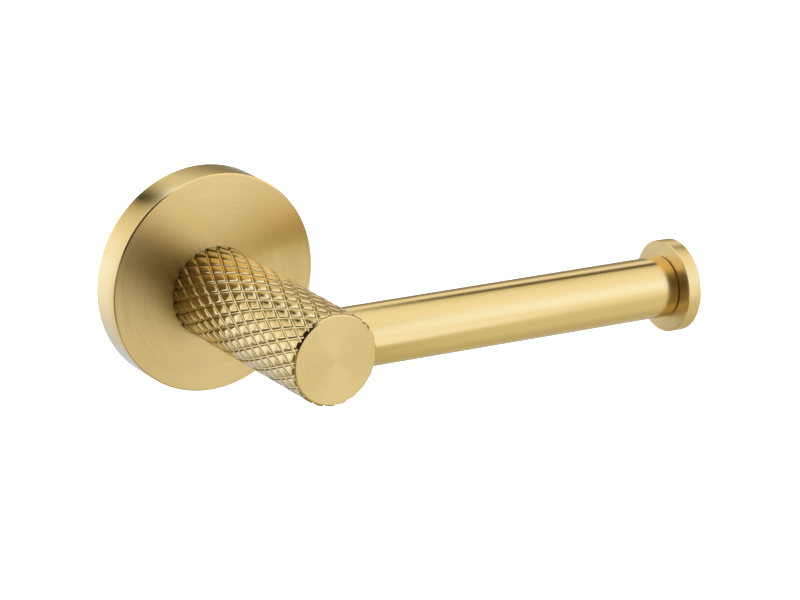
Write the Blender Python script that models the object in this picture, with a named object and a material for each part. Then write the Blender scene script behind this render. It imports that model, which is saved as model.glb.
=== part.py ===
"""Single-post toilet paper holder: a round wall flange, a knurled post that stands out from it
and a smooth arm that leaves the post at a right angle and ends in a flat disc.

Frame: metres, +Z up. The wall is the plane y = 0 and the holder reaches towards -Y.
The origin is on the wall, on the axis of the post. The arm points along +X.
"""
import math

import bmesh
import bpy
from mathutils import Matrix

MM = 0.001
GAP = 0.3 * MM                       # running gap between pieces that touch or screw together

# Driving dimensions
FLANGE_RADIUS = 32.5 * MM
FLANGE_DEPTH = 10.6 * MM
FLANGE_RISE = 2.6 * MM               # axis of the flange above the axis of the post
POST_RADIUS = 13.55 * MM
POST_REACH = 77.9 * MM               # wall to the front face of the post
ARM_RADIUS = 8.9 * MM
ARM_HEIGHT = 63.1 * MM               # wall to the axis of the arm
ARM_REACH = 124.4 * MM               # post axis to the outer face of the end disc
DISC_RADIUS = 13.4 * MM
DISC_THICKNESS = 4.6 * MM

# Flange: a turned cup, open towards the wall
FLANGE_WALL = 4.0 * MM
FLANGE_EDGE = 0.35 * MM
CUP_DEPTH = 7.0 * MM
CUP_CORNER = 1.0 * MM
RECESS_DEPTH = 0.7 * MM              # shallow seat that the post stands in

# Wall plate: a pressed dish that the cup fits over
PLATE_SHEET = 1.4 * MM
PLATE_RADIUS = 27.9 * MM
PLATE_RIM = 6.0 * MM
PLATE_BEND = 1.6 * MM
SLOT_WIDTH = 6.0 * MM
SLOT_LENGTH = 9.0 * MM
SCREW_OFFSET = 13.5 * MM             # plate axis to each wall screw

# Wall screw, 3.5 x 30 mm pan head, and its plug
WALL_SCREW_RADIUS = 1.75 * MM
WALL_SCREW_LENGTH = 30.0 * MM
WALL_SCREW_POINT = 3.5 * MM
PAN_RADIUS = 4.1 * MM
PAN_HEIGHT = 2.6 * MM
PLUG_RADIUS = 2.9 * MM
PLUG_LENGTH = 25.0 * MM
PLUG_SLIT = 0.7 * MM
PLUG_SOLID_COLLAR = 6.0 * MM

# Grub screw, M4 x 4, which locks the flange on the plate
GRUB_RADIUS = 2.0 * MM
GRUB_LENGTH = 4.0 * MM
GRUB_DEPTH = 3.8 * MM                # wall to the axis of the grub screw
GRUB_SOCKET = 1.0 * MM               # half the width across the flats of its hexagon
GRUB_SOCKET_DEPTH = 1.8 * MM

# Post fixings
POST_EDGE = 0.9 * MM
POST_SCREW_RADIUS = 3.0 * MM         # M6
POST_SCREW_LENGTH = 20.0 * MM
BUTTON_RADIUS = 5.25 * MM
BUTTON_HEIGHT = 3.2 * MM
BUTTON_SOCKET = 2.0 * MM
BUTTON_SOCKET_DEPTH = 2.0 * MM
WASHER_RADIUS = 5.9 * MM
WASHER_THICKNESS = 1.3 * MM
WASHER_SPLIT = 0.8 * MM
PIN_RADIUS = 1.5 * MM
PIN_LENGTH = 8.0 * MM
PIN_OFFSET = 9.0 * MM                # post axis to the locating pin

# Arm, its two threaded inserts and its two studs
ARM_WALL = 2.0 * MM
ARM_EDGE = 0.25 * MM
ARM_SEAT = 8.0 * MM                  # post axis to the flat floor of the seat for the arm
INSERT_LENGTH = 14.0 * MM
ARM_STUD_RADIUS = 4.0 * MM           # M8
ARM_STUD_START = -5.0 * MM
ARM_STUD_LENGTH = 25.0 * MM
ARM_STUD_SOCKET = 2.0 * MM
DISC_STUD_RADIUS = 3.0 * MM          # M6
DISC_STUD_LENGTH = 15.0 * MM
DISC_STUD_SOCKET = 1.5 * MM
STUD_SOCKET_DEPTH = 3.0 * MM
DISC_EDGE = 0.3 * MM
DISC_HOLE_DEPTH = 3.2 * MM

# Facets
FINE = 96
MEDIUM = 64
SMALL = 24

# Turning axes, as rotations that carry local +Z
OUT_FROM_WALL = (math.pi / 2, 0.0, 0.0)      # to -Y
INTO_WALL = (-math.pi / 2, 0.0, 0.0)         # to +Y
ALONG_ARM = (0.0, math.pi / 2, 0.0)          # to +X
DOWN = (math.pi, 0.0, 0.0)                   # to -Z


def clear_scene():
    for obj in list(bpy.data.objects):
        bpy.data.objects.remove(obj, do_unlink=True)


def metal(name, colour, roughness, metallic=1.0):
    material = bpy.data.materials.new(name)
    material.use_nodes = True
    shader = material.node_tree.nodes["Principled BSDF"]
    shader.inputs["Base Color"].default_value = (*colour, 1.0)
    shader.inputs["Roughness"].default_value = roughness
    shader.inputs["Metallic"].default_value = metallic
    return material


def arc(centre, radius, start, end, steps=5):
    """Points of an arc in (radius, height) space, angles in degrees."""
    points = []
    for step in range(steps + 1):
        angle = math.radians(start + (end - start) * step / steps)
        points.append((centre[0] + radius * math.cos(angle), centre[1] + radius * math.sin(angle)))
    return points


def place(name, mesh, material, location, rotation, parent=None):
    mesh.shade_smooth()
    mesh.set_sharp_from_angle(angle=math.radians(28))
    obj = bpy.data.objects.new(name, mesh)
    obj.location = location
    obj.rotation_euler = rotation
    obj.parent = parent
    bpy.context.scene.collection.objects.link(obj)
    if material is not None:
        mesh.materials.append(material)
    return obj


def turned(name, outline, material, location, rotation, segments, parent=None, ring=False):
    """Spin an outline of (radius, height) points about local Z.

    An open outline starts and ends on the axis. A ring's outline closes on itself.
    """
    bm = bmesh.new()
    verts = [bm.verts.new((radius, 0.0, height)) for radius, height in outline]
    edges = [bm.edges.new(pair) for pair in zip(verts, verts[1:])]
    if ring:
        edges.append(bm.edges.new((verts[-1], verts[0])))
    bmesh.ops.spin(bm, geom=verts + edges, cent=(0, 0, 0), axis=(0, 0, 1),
                   angle=2 * math.pi, steps=segments, use_merge=True)
    bmesh.ops.remove_doubles(bm, verts=bm.verts, dist=1e-7)
    bmesh.ops.recalc_face_normals(bm, faces=bm.faces)
    mesh = bpy.data.meshes.new(name)
    bm.to_mesh(mesh)
    bm.free()
    return place(name, mesh, material, location, rotation, parent)


def cut(target, cutter):
    """Subtract a wire-drawn helper object from a piece."""
    cutter.display_type = "WIRE"
    cutter.hide_render = True
    boolean = target.modifiers.new(cutter.name, "BOOLEAN")
    boolean.operation = "DIFFERENCE"
    boolean.solver = "EXACT"
    boolean.object = cutter


def drill(target, name, radius, bottom, depth, rotation, segments=SMALL):
    """Cut a round hole that starts at a point and runs along the rotated local Z."""
    bm = bmesh.new()
    bmesh.ops.create_cone(bm, cap_ends=True, segments=segments, radius1=radius, radius2=radius,
                          depth=depth, matrix=Matrix.Translation((0, 0, depth / 2)))
    mesh = bpy.data.meshes.new(name)
    bm.to_mesh(mesh)
    bm.free()
    cut(target, place(name, mesh, None, bottom, rotation))


def hex_socket(target, name, half_flats, bottom, depth, rotation):
    """Cut a hexagon key's socket."""
    corner = half_flats / math.cos(math.radians(30))
    drill(target, name, corner, bottom, depth, rotation, segments=6)


def box_cutter(target, name, size, location, rotation=(0.0, 0.0, 0.0)):
    bm = bmesh.new()
    bmesh.ops.create_cube(bm, size=1.0, matrix=Matrix.Diagonal((*size, 1.0)))
    mesh = bpy.data.meshes.new(name)
    bm.to_mesh(mesh)
    bm.free()
    cut(target, place(name, mesh, None, location, rotation))


def obround_cutter(target, name, length, width, location, depth):
    """Cut a slot with round ends, long along X, through a plate that lies on the wall."""
    half = (length - width) / 2
    outline = arc((half, 0.0), width / 2, -90, 90, 12) + arc((-half, 0.0), width / 2, 90, 270, 12)
    bm = bmesh.new()
    face = bm.faces.new([bm.verts.new((x, -depth / 2, z)) for x, z in outline])
    side = bmesh.ops.extrude_face_region(bm, geom=[face])
    moved = [item for item in side["geom"] if isinstance(item, bmesh.types.BMVert)]
    bmesh.ops.translate(bm, verts=moved, vec=(0.0, depth, 0.0))
    bmesh.ops.recalc_face_normals(bm, faces=bm.faces)
    mesh = bpy.data.meshes.new(name)
    bm.to_mesh(mesh)
    bm.free()
    cut(target, place(name, mesh, None, location, (0.0, 0.0, 0.0)))


def screw_height(side):
    """Height of the upper (+1) or lower (-1) wall screw."""
    return FLANGE_RISE + side * SCREW_OFFSET


def make_wall_plate(material):
    outline = [(0.0, 0.0)]
    outline += arc((PLATE_RADIUS - PLATE_BEND, PLATE_BEND), PLATE_BEND, -90, 0)
    outline += [(PLATE_RADIUS, PLATE_RIM), (PLATE_RADIUS - PLATE_SHEET, PLATE_RIM)]
    inner_bend = PLATE_BEND - PLATE_SHEET
    outline += arc((PLATE_RADIUS - PLATE_BEND, PLATE_BEND), inner_bend, 0, -90, 2)
    outline += [(0.0, PLATE_SHEET)]
    plate = turned("wall_plate", outline, material, (0, 0, FLANGE_RISE), OUT_FROM_WALL, MEDIUM)
    for label, side in (("upper", 1), ("lower", -1)):
        obround_cutter(plate, f"slot_{label}", SLOT_LENGTH, SLOT_WIDTH,
                       (0.0, 0.0, screw_height(side)), 4 * PLATE_SHEET)


def make_wall_screw(label, side, material):
    """Pan-head wood screw with a cross recess. Its head bears on the plate."""
    under_head = PLATE_SHEET + GAP
    tip = under_head - WALL_SCREW_LENGTH
    top = under_head + PAN_HEIGHT
    crown = 0.55 * PAN_HEIGHT
    outline = [(0.0, tip), (WALL_SCREW_RADIUS, tip + WALL_SCREW_POINT),
               (WALL_SCREW_RADIUS, under_head), (PAN_RADIUS, under_head),
               (PAN_RADIUS, top - crown), (0.93 * PAN_RADIUS, top - 0.5 * crown),
               (0.72 * PAN_RADIUS, top - 0.12 * crown), (0.45 * PAN_RADIUS, top), (0.0, top)]
    location = (0.0, 0.0, screw_height(side))
    screw = turned(f"wall_screw_{label}", outline, material, location, OUT_FROM_WALL, SMALL)
    recess = 1.4 * MM
    arm_length = 3.6 * MM
    arm_width = 0.8 * MM
    for number, turn in enumerate((0.0, math.pi / 2)):
        box_cutter(screw, f"cross_{label}_{number}", (arm_length, 2 * recess, arm_width),
                   (0.0, -top, screw_height(side)), (0.0, turn, 0.0))


def make_wall_plug(label, side, material):
    """Expansion plug: a sleeve, slit from its far end so that the screw can spread it."""
    bore = WALL_SCREW_RADIUS + GAP
    edge = 0.4 * MM
    mouth = -GAP
    far = -PLUG_LENGTH
    outline = [(bore, mouth), (bore, far), (PLUG_RADIUS - edge, far), (PLUG_RADIUS, far + edge)]
    outline += [(PLUG_RADIUS, mouth)]
    location = (0.0, 0.0, screw_height(side))
    plug = turned(f"wall_plug_{label}", outline, material, location, OUT_FROM_WALL, SMALL, ring=True)
    slit_length = PLUG_LENGTH - PLUG_SOLID_COLLAR
    box_cutter(plug, f"plug_slit_{label}", (PLUG_SLIT, 2 * slit_length, 3 * PLUG_RADIUS),
               (0.0, PLUG_LENGTH, screw_height(side)))


def make_flange(material, holder):
    """Cup with a seat for the post, a little below the cup's own axis."""
    inside = FLANGE_RADIUS - FLANGE_WALL
    outline = [(0.0, CUP_DEPTH)]
    outline += arc((inside - CUP_CORNER, CUP_DEPTH - CUP_CORNER), CUP_CORNER, 90, 0, 3)
    outline += [(inside, 0.0), (FLANGE_RADIUS - FLANGE_EDGE, 0.0), (FLANGE_RADIUS, FLANGE_EDGE),
                (FLANGE_RADIUS, FLANGE_DEPTH - FLANGE_EDGE), (FLANGE_RADIUS - FLANGE_EDGE, FLANGE_DEPTH),
                (0.0, FLANGE_DEPTH)]
    flange = turned("wall_flange", outline, material, (0, 0, FLANGE_RISE), OUT_FROM_WALL, FINE, holder)
    drill(flange, "post_recess", POST_RADIUS + GAP, (0, -FLANGE_DEPTH + RECESS_DEPTH, 0), FLANGE_DEPTH,
          OUT_FROM_WALL, FINE)
    drill(flange, "screw_hole_in_flange", POST_SCREW_RADIUS + GAP, (0, 0, 0), 2 * FLANGE_DEPTH,
          OUT_FROM_WALL)
    drill(flange, "grub_hole", GRUB_RADIUS + GAP, (0, -GRUB_DEPTH, FLANGE_RISE - PLATE_RADIUS + 2 * MM),
          FLANGE_RADIUS, DOWN, 24)
    drill(flange, "pin_hole_in_flange", PIN_RADIUS + GAP, (0, 0, PIN_OFFSET), 2 * FLANGE_DEPTH,
          OUT_FROM_WALL, 24)


def make_grub_screw(material, holder):
    """Headless hexagon-socket screw. Its tip bears on the rim of the wall plate."""
    point = 0.4 * MM
    tip_height = PLATE_RADIUS + GAP - FLANGE_RISE
    outline = [(0.0, 0.0), (GRUB_RADIUS - point, 0.0), (GRUB_RADIUS, point),
               (GRUB_RADIUS, GRUB_LENGTH - point / 2), (GRUB_RADIUS - point / 2, GRUB_LENGTH),
               (0.0, GRUB_LENGTH)]
    grub = turned("grub_screw", outline, material, (0.0, -GRUB_DEPTH, -tip_height), DOWN, 24, holder)
    hex_socket(grub, "grub_socket", GRUB_SOCKET,
               (0.0, -GRUB_DEPTH, -tip_height - GRUB_LENGTH + GRUB_SOCKET_DEPTH), GRUB_LENGTH, DOWN)


def make_post(material, holder):
    back = FLANGE_DEPTH - RECESS_DEPTH + GAP
    outline = [(0.0, back), (POST_RADIUS, back), (POST_RADIUS, POST_REACH - POST_EDGE),
               (POST_RADIUS - POST_EDGE, POST_REACH), (0.0, POST_REACH)]
    post = turned("knurled_post", outline, material, (0, 0, 0), OUT_FROM_WALL, FINE, holder)
    screw_hole_end = CUP_DEPTH + POST_SCREW_LENGTH + 1 * MM
    drill(post, "post_screw_hole", POST_SCREW_RADIUS + GAP, (0, 0, 0), screw_hole_end, OUT_FROM_WALL)
    pin_hole_end = CUP_DEPTH + PIN_LENGTH + 1 * MM
    drill(post, "pin_hole_in_post", PIN_RADIUS + GAP, (0, 0, PIN_OFFSET), pin_hole_end, OUT_FROM_WALL, 24)
    drill(post, "arm_seat", ARM_RADIUS + GAP, (ARM_SEAT, -ARM_HEIGHT, 0), POST_RADIUS, ALONG_ARM, MEDIUM)
    stud_hole_start = ARM_STUD_START - 1 * MM
    drill(post, "arm_stud_hole", ARM_STUD_RADIUS + GAP, (stud_hole_start, -ARM_HEIGHT, 0),
          ARM_SEAT - stud_hole_start + 1 * MM, ALONG_ARM)


def make_post_fixings(steel, pin_steel, holder):
    """Button-head screw and split washer inside the cup, and the pin that stops the post turning."""
    washer_top = CUP_DEPTH - GAP
    washer_bottom = washer_top - WASHER_THICKNESS
    bore = POST_SCREW_RADIUS + GAP
    outline = [(bore, washer_bottom), (WASHER_RADIUS, washer_bottom), (WASHER_RADIUS, washer_top),
               (bore, washer_top)]
    washer = turned("post_spring_washer", outline, steel, (0, 0, 0), OUT_FROM_WALL, SMALL, holder, ring=True)
    box_cutter(washer, "washer_split", (WASHER_RADIUS, 4 * WASHER_THICKNESS, WASHER_SPLIT),
               (WASHER_RADIUS, -washer_bottom - WASHER_THICKNESS / 2, 0.0), (math.radians(25), 0.0, 0.0))

    bearing = washer_bottom - GAP
    outline = [(0.0, bearing - BUTTON_HEIGHT), (0.55 * BUTTON_RADIUS, bearing - BUTTON_HEIGHT),
               (0.82 * BUTTON_RADIUS, bearing - 0.72 * BUTTON_HEIGHT),
               (0.97 * BUTTON_RADIUS, bearing - 0.35 * BUTTON_HEIGHT),
               (BUTTON_RADIUS, bearing - 0.1 * BUTTON_HEIGHT), (BUTTON_RADIUS, bearing),
               (POST_SCREW_RADIUS, bearing), (POST_SCREW_RADIUS, bearing + POST_SCREW_LENGTH - 0.8 * MM),
               (POST_SCREW_RADIUS - 0.8 * MM, bearing + POST_SCREW_LENGTH),
               (0.0, bearing + POST_SCREW_LENGTH)]
    screw = turned("post_screw", outline, steel, (0, 0, 0), OUT_FROM_WALL, SMALL, holder)
    hex_socket(screw, "post_screw_socket", BUTTON_SOCKET,
               (0.0, -(bearing - BUTTON_HEIGHT + BUTTON_SOCKET_DEPTH), 0.0), BUTTON_HEIGHT, INTO_WALL)

    start = CUP_DEPTH + GAP
    edge = 0.3 * MM
    outline = [(0.0, start), (PIN_RADIUS - edge, start), (PIN_RADIUS, start + edge),
               (PIN_RADIUS, start + PIN_LENGTH - edge), (PIN_RADIUS - edge, start + PIN_LENGTH),
               (0.0, start + PIN_LENGTH)]
    turned("post_locating_pin", outline, pin_steel, (0, 0, PIN_OFFSET), OUT_FROM_WALL, 24, holder)


def rod_outline(start, end, radius, edge):
    return [(0.0, start), (radius - edge, start), (radius, start + edge), (radius, end - edge),
            (radius - edge, end), (0.0, end)]


def tube_outline(start, end, outer, inner, edge):
    return [(inner, start), (outer - edge, start), (outer, start + edge), (outer, end - edge),
            (outer - edge, end), (inner, end)]


def make_arm(gold, brass, steel, holder):
    """Tube with a threaded insert in each end, and the stud that joins it to the post."""
    on_axis = (0.0, -ARM_HEIGHT, 0.0)
    start = ARM_SEAT + GAP
    end = ARM_REACH - DISC_THICKNESS - GAP
    bore = ARM_RADIUS - ARM_WALL
    turned("roll_arm", tube_outline(start, end, ARM_RADIUS, bore, ARM_EDGE), gold, on_axis,
           ALONG_ARM, MEDIUM, holder, ring=True)

    insert = bore - GAP
    inset = 0.2 * MM
    turned("arm_root_insert",
           tube_outline(start + inset, start + inset + INSERT_LENGTH, insert, ARM_STUD_RADIUS + GAP, 0.4 * MM),
           brass, on_axis, ALONG_ARM, SMALL, holder, ring=True)
    turned("arm_tip_insert",
           tube_outline(end - inset - INSERT_LENGTH, end - inset, insert, DISC_STUD_RADIUS + GAP, 0.4 * MM),
           brass, on_axis, ALONG_ARM, SMALL, holder, ring=True)

    stud_end = ARM_STUD_START + ARM_STUD_LENGTH
    stud = turned("arm_stud", rod_outline(ARM_STUD_START, stud_end, ARM_STUD_RADIUS, 0.8 * MM), steel,
                  on_axis, ALONG_ARM, SMALL, holder)
    hex_socket(stud, "arm_stud_socket", ARM_STUD_SOCKET,
               (stud_end - STUD_SOCKET_DEPTH, -ARM_HEIGHT, 0.0), 2 * STUD_SOCKET_DEPTH, ALONG_ARM)


def make_end_disc(gold, steel, holder):
    """Flat disc that keeps the roll on the arm, held by a stud in a blind hole."""
    inner_face = ARM_REACH - DISC_THICKNESS
    hole = DISC_STUD_RADIUS + GAP
    outline = [(0.0, DISC_HOLE_DEPTH), (hole, DISC_HOLE_DEPTH), (hole, 0.0)]
    outline += [(DISC_RADIUS - DISC_EDGE, 0.0), (DISC_RADIUS, DISC_EDGE),
                (DISC_RADIUS, DISC_THICKNESS - DISC_EDGE), (DISC_RADIUS - DISC_EDGE, DISC_THICKNESS),
                (0.0, DISC_THICKNESS)]
    turned("arm_end_disc", outline, gold, (inner_face, -ARM_HEIGHT, 0.0), ALONG_ARM, FINE, holder)

    stud_end = inner_face + DISC_HOLE_DEPTH - GAP
    stud_start = stud_end - DISC_STUD_LENGTH
    stud = turned("disc_stud", rod_outline(stud_start, stud_end, DISC_STUD_RADIUS, 0.6 * MM), steel,
                  (0.0, -ARM_HEIGHT, 0.0), ALONG_ARM, SMALL, holder)
    hex_socket(stud, "disc_stud_socket", DISC_STUD_SOCKET,
               (stud_start + STUD_SOCKET_DEPTH, -ARM_HEIGHT, 0.0), 2 * STUD_SOCKET_DEPTH,
               (0.0, -math.pi / 2, 0.0))


def main():
    clear_scene()
    brushed_gold = metal("brushed_gold", (0.93, 0.695, 0.315), 0.30)
    knurled_gold = metal("knurled_gold", (0.93, 0.695, 0.315), 0.22)
    satin_gold = metal("satin_gold", (0.93, 0.695, 0.315), 0.26)
    raw_brass = metal("raw_brass", (0.72, 0.52, 0.22), 0.35)
    stainless = metal("stainless_steel", (0.60, 0.59, 0.57), 0.32)
    zinc_steel = metal("zinc_steel", (0.52, 0.54, 0.55), 0.38)
    nylon = metal("grey_nylon", (0.42, 0.43, 0.44), 0.55, metallic=0.0)

    holder = bpy.data.objects.new("holder_slide_axis", None)
    bpy.context.scene.collection.objects.link(holder)

    make_wall_plate(stainless)
    for label, side in (("upper", 1), ("lower", -1)):
        make_wall_screw(label, side, zinc_steel)
        make_wall_plug(label, side, nylon)
    make_flange(brushed_gold, holder)
    make_grub_screw(stainless, holder)
    make_post(knurled_gold, holder)
    make_post_fixings(zinc_steel, stainless, holder)
    make_arm(satin_gold, raw_brass, zinc_steel, holder)
    make_end_disc(brushed_gold, zinc_steel, holder)


main()
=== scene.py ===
import math

import bmesh
import bpy
import numpy as np
from mathutils import Matrix, Vector


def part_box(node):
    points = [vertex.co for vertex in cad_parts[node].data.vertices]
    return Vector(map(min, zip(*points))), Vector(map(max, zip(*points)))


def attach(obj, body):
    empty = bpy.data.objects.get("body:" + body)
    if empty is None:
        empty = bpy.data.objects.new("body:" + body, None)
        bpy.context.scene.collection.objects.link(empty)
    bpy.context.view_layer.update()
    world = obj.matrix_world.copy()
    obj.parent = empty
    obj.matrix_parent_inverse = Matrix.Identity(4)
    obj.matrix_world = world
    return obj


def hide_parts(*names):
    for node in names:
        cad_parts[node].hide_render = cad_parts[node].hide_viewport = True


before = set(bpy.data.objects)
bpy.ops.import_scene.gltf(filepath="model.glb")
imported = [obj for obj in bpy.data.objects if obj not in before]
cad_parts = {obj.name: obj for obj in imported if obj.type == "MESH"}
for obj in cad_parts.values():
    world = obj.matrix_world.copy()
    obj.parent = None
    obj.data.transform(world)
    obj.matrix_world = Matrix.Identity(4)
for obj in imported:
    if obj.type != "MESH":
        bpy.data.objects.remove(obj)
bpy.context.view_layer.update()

MM = 0.001

# ---------------------------------------------------------------- places read from the frame
flange_low, flange_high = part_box("wall_flange")
FLANGE_RADIUS = flange_high.x
FLANGE_RISE = (flange_high.z + flange_low.z) / 2
FLANGE_DEPTH = -flange_low.y
post_low, post_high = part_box("knurled_post")
POST_RADIUS = post_high.x
POST_REACH = -post_low.y
POST_BACK = -post_high.y
arm_low, arm_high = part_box("roll_arm")
ARM_RADIUS = (arm_high.z - arm_low.z) / 2
ARM_AXIS_Y = (arm_high.y + arm_low.y) / 2
ARM_START = arm_low.x
ARM_END = arm_high.x
disc_low, disc_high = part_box("arm_end_disc")
DISC_RADIUS = (disc_high.z - disc_low.z) / 2
DISC_INNER = disc_low.x
DISC_OUTER = disc_high.x

# ---------------------------------------------------------------- surface detail
FLANGE_WALL = 4.0 * MM
FLANGE_EDGE = 0.35 * MM
CUP_DEPTH = 7.0 * MM
CUP_CORNER = 1.0 * MM
POST_EDGE = 0.9 * MM
KNURL_STARTS = 22                    # grooves of each hand round the post
KNURL_ANGLE = math.radians(24)       # groove direction, from the post's axis
KNURL_TURN = math.radians(5.8)       # one crossing of two grooves is turned this far from +X ...
KNURL_SHIFT = 2.1 * MM               # ... and stands this far from the wall plane
KNURL_WIDTH = 1.3 * MM               # groove, edge to edge
KNURL_FLOOR = 0.3 * MM               # flat bottom of the groove
KNURL_DEPTH = 0.40 * MM
KNURL_CROWN = 0.13 * MM              # lands are slightly domed
ARM_WALL = 2.0 * MM
ARM_EDGE = 0.25 * MM
DISC_EDGE = 0.3 * MM
SEAT_CLEARANCE = 0.04 * MM
THREAD_CLEARANCE = 0.1 * MM
PIN_CLEARANCE = 0.05 * MM
POST_SCREW_HOLE = 3.1 * MM           # radius in the post
FLANGE_SCREW_HOLE = 3.3 * MM         # radius in the flange
DISC_HOLE = 3.3 * MM                 # radius of the stud's hole
DISC_HOLE_DEPTH = 3.2 * MM
TURNED_EDGE = 0.08 * MM              # rounding left on a turned corner

OUT_FROM_WALL = Matrix.Rotation(math.pi / 2, 4, "X")      # local +Z to -Y
ALONG_ARM = Matrix.Rotation(math.pi / 2, 4, "Y")          # local +Z to +X
FINE = 384                           # segments round a visible turned piece
COARSE = 96                          # segments round a small one


# ---------------------------------------------------------------- mesh tools
def new_object(name, mesh, place):
    obj = bpy.data.objects.new(name, mesh)
    obj.matrix_world = place
    bpy.context.scene.collection.objects.link(obj)
    return obj


def mesh_from(name, points, faces):
    mesh = bpy.data.meshes.new(name)
    mesh.from_pydata([tuple(point) for point in points], [], faces)
    mesh.validate()
    return mesh


def rounded(outline, radii, steps=5):
    """Outline of (radius, height) points whose inner corners are rounded by the given radii."""
    result = []
    count = len(outline)
    for index, point in enumerate(outline):
        radius = radii[index]
        if radius == 0:
            result.append(point)
            continue
        here = Vector(point)
        back = (Vector(outline[(index - 1) % count]) - here).normalized()
        ahead = (Vector(outline[(index + 1) % count]) - here).normalized()
        half = back.angle(ahead) / 2
        reach = radius / math.tan(half)
        centre = here + (back + ahead).normalized() * (radius / math.sin(half))
        first = here + back * reach - centre
        last = here + ahead * reach - centre
        start = math.atan2(first.y, first.x)
        sweep = (math.atan2(last.y, last.x) - start + math.pi) % (2 * math.pi) - math.pi
        for step in range(steps + 1):
            angle = start + sweep * step / steps
            result.append((centre.x + radius * math.cos(angle), centre.y + radius * math.sin(angle)))
    return result


def turned(name, outline, place, segments=FINE, ring=False):
    """Spin an outline of (radius, height) points about local Z. A ring's outline closes on itself."""
    points = []
    rings = []
    angles = [2 * math.pi * step / segments for step in range(segments)]
    for radius, height in outline:
        if radius < 1e-7:
            rings.append([len(points)] * segments)
            points.append((0.0, 0.0, height))
        else:
            rings.append(list(range(len(points), len(points) + segments)))
            points.extend((radius * math.cos(a), radius * math.sin(a), height) for a in angles)
    faces = []
    pairs = list(zip(rings, rings[1:]))
    if ring:
        pairs.append((rings[-1], rings[0]))
    for lower, upper in pairs:
        for step in range(segments):
            after = (step + 1) % segments
            corners = [lower[step], lower[after], upper[after], upper[step]]
            face = list(dict.fromkeys(corners))
            if len(face) > 2:
                faces.append(face)
    mesh = mesh_from(name, points, faces)
    outward(mesh)
    return crisp(new_object(name, mesh, place))


def outward(mesh):
    bm = bmesh.new()
    bm.from_mesh(mesh)
    bmesh.ops.recalc_face_normals(bm, faces=bm.faces)
    bm.to_mesh(mesh)
    bm.free()


def crisp(obj, degrees=35):
    """Smooth shading that breaks at edges sharper than the given angle."""
    obj.data.shade_smooth()
    obj.data.set_sharp_from_angle(angle=math.radians(degrees))
    return obj


def combine(obj, other, operation):
    """Boolean with a helper, applied at once. The helper is removed."""
    step = obj.modifiers.new("combine", "BOOLEAN")
    step.operation = operation
    step.solver = "MANIFOLD"
    step.object = other
    bpy.context.view_layer.update()
    depsgraph = bpy.context.evaluated_depsgraph_get()
    mesh = bpy.data.meshes.new_from_object(obj.evaluated_get(depsgraph))
    obj.modifiers.remove(step)
    obj.data = mesh
    bpy.data.objects.remove(other)
    return obj


def cylinder(radius, start, end, place, segments=FINE):
    return turned("cutter", [(0, start), (radius, start), (radius, end), (0, end)], place, segments)


def prism(name, base, top, place):
    """Solid between two outlines with the same number of corners, running the same way round."""
    count = len(base)
    faces = [tuple(range(count))[::-1], tuple(range(count, 2 * count))]
    faces += [(i, (i + 1) % count, count + (i + 1) % count, count + i) for i in range(count)]
    return new_object(name, mesh_from(name, base + top, faces), place)


# ---------------------------------------------------------------- knurled post
def groove_fractions():
    """Mesh lines across one groove pitch, as fractions of it, dense in the groove, and the pitch."""
    pitch = 2 * math.pi * POST_RADIUS / KNURL_STARTS * math.cos(KNURL_ANGLE)
    floor = KNURL_FLOOR / 2 / pitch
    edge = KNURL_WIDTH / 2 / pitch
    wall_steps = 6
    wall = [floor + (edge - floor) * step / wall_steps for step in range(wall_steps + 1)]
    half = [0.0] + wall + [0.27, 0.38, 0.5]
    return np.array(half + [1 - value for value in half[-2:0:-1]]), pitch


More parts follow.
